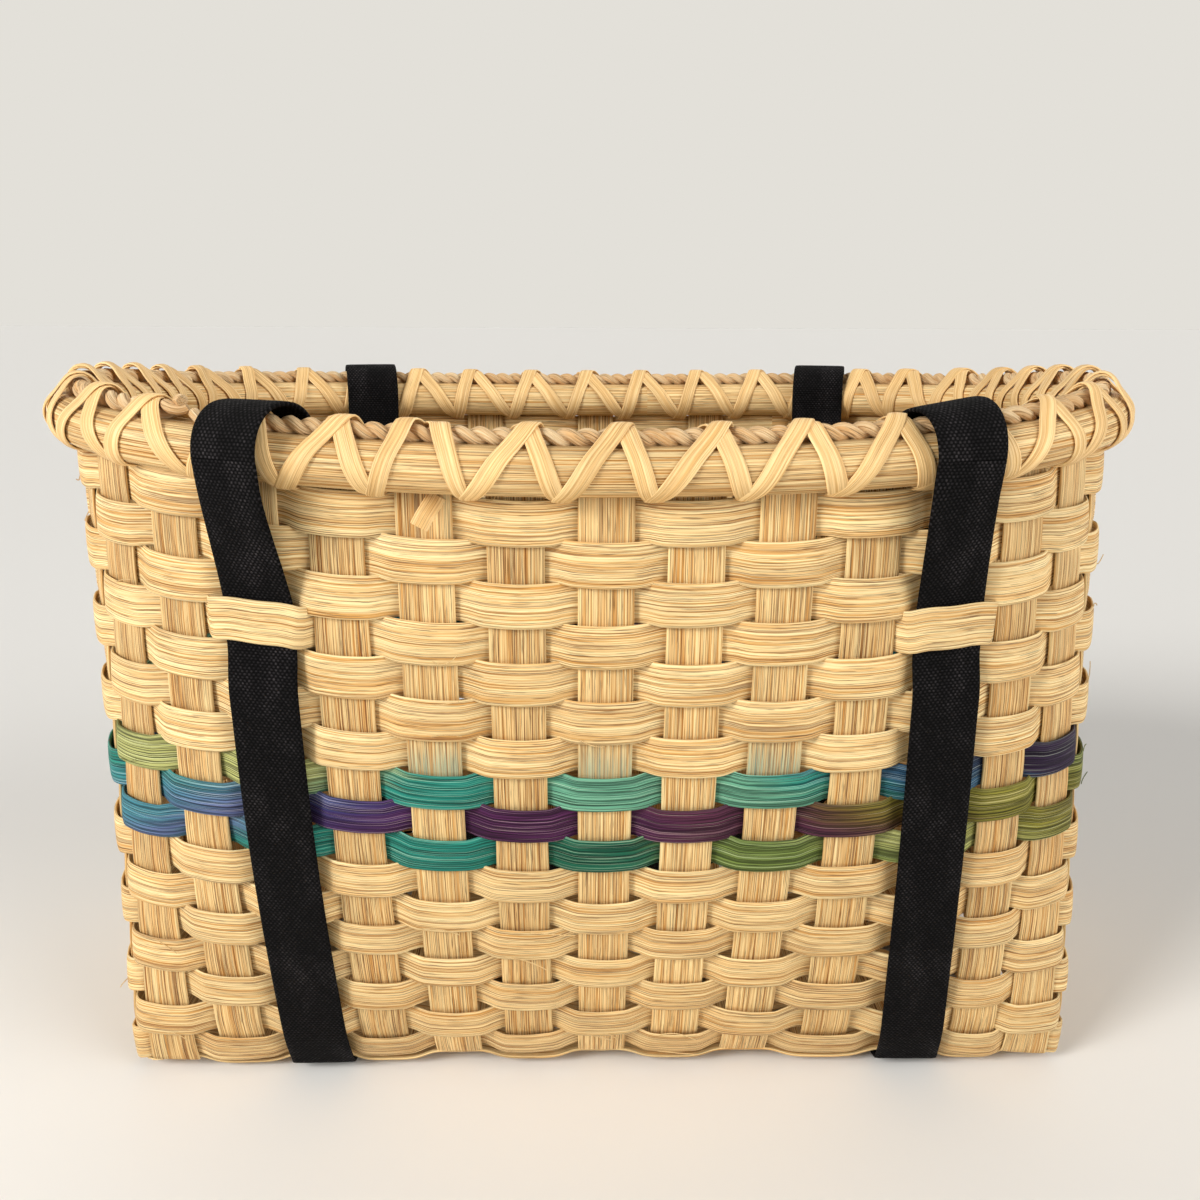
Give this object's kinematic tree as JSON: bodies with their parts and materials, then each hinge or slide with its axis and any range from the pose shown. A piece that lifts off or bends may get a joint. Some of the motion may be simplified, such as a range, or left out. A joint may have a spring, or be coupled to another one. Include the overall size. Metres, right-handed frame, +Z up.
{
  "type": "tote basket",
  "caption": "Rectangular flat-reed tote basket with a plaited base, a lashed half-round rim, a dyed band and two black webbing loop handles that fold over the rim.",
  "frame": {"origin": "on the floor, under the middle of the basket", "axes": "+X along the basket to the right as seen from the front, +Y from front to back, +Z up"},
  "size_m": [0.3996, 0.2692, 0.266],
  "materials": {
    "weaver_reed": "natural straw-coloured flat reed with fine lengthwise grain",
    "stake_reed": "natural flat reed, slightly darker, with fine lengthwise grain",
    "rim_reed": "natural half-round and flat-oval reed",
    "rope": "twisted grass rope",
    "dyed_teal": "flat reed dyed in changing greens and blues",
    "dyed_purple": "flat reed dyed in changing purples and olive",
    "dyed_green": "flat reed dyed in changing teals and greens",
    "webbing": "black cotton webbing with a plain weave"
  },
  "bodies": {
    "basket": {"short_stake_01": "stake_reed", "short_stake_02": "stake_reed", "short_stake_03": "stake_reed", "short_stake_04": "stake_reed", "short_stake_05": "stake_reed", "short_stake_06": "stake_reed", "short_stake_07": "stake_reed", "short_stake_08": "stake_reed", "short_stake_09": "stake_reed", "short_stake_10": "stake_reed", "short_stake_11": "stake_reed", "short_stake_12": "stake_reed", "short_stake_13": "stake_reed", "long_stake_01": "stake_reed", "long_stake_02": "stake_reed", "long_stake_03": "stake_reed", "long_stake_04": "stake_reed", "long_stake_05": "stake_reed", "long_stake_06": "stake_reed", "weaver_row_01": "weaver_reed", "weaver_row_02": "weaver_reed", "weaver_row_03": "weaver_reed", "weaver_row_04": "weaver_reed", "weaver_row_05": "weaver_reed", "weaver_row_06": "weaver_reed", "weaver_row_07": "weaver_reed", "weaver_row_08": "dyed_green", "weaver_row_09": "dyed_purple", "weaver_row_10": "dyed_teal", "weaver_row_11": "weaver_reed", "weaver_row_12": "weaver_reed", "weaver_row_13": "weaver_reed", "weaver_row_14": "weaver_reed", "weaver_row_15": "weaver_reed", "weaver_row_16": "weaver_reed", "weaver_row_17": "weaver_reed", "rim_row": "weaver_reed", "outer_rim": "rim_reed", "inner_rim": "rim_reed", "rim_filler": "rope", "lashing_forward": "rim_reed", "lashing_return": "rim_reed", "strap_left": "webbing", "strap_right": "webbing"},
    "front_bridge": {"front_left_fold": "webbing", "front_right_fold": "webbing"},
    "front_loop": {"front_handle": "webbing"},
    "back_bridge": {"back_left_fold": "webbing", "back_right_fold": "webbing"},
    "back_loop": {"back_handle": "webbing"}
  },
  "joints": [
    {"name": "front_lift", "type": "hinge", "parent": "basket", "child": "front_bridge", "pos_m": [0, -0.13012, 0.26098], "axis": [1, 0, 0], "range_deg": [0, 170]},
    {"name": "front_swing", "type": "hinge", "parent": "front_bridge", "child": "front_loop", "pos_m": [0, -0.09053, 0.26098], "axis": [1, 0, 0], "range_deg": [0, 170]},
    {"name": "back_lift", "type": "hinge", "parent": "basket", "child": "back_bridge", "pos_m": [0, 0.13012, 0.26098], "axis": [-1, 0, 0], "range_deg": [0, 170]},
    {"name": "back_swing", "type": "hinge", "parent": "back_bridge", "child": "back_loop", "pos_m": [0, 0.09053, 0.26098], "axis": [-1, 0, 0], "range_deg": [0, 170]}
  ],
  "couplings": [
    {"joint": "front_swing", "follows": "front_lift", "ratio": 1},
    {"joint": "back_swing", "follows": "back_lift", "ratio": 1}
  ]
}
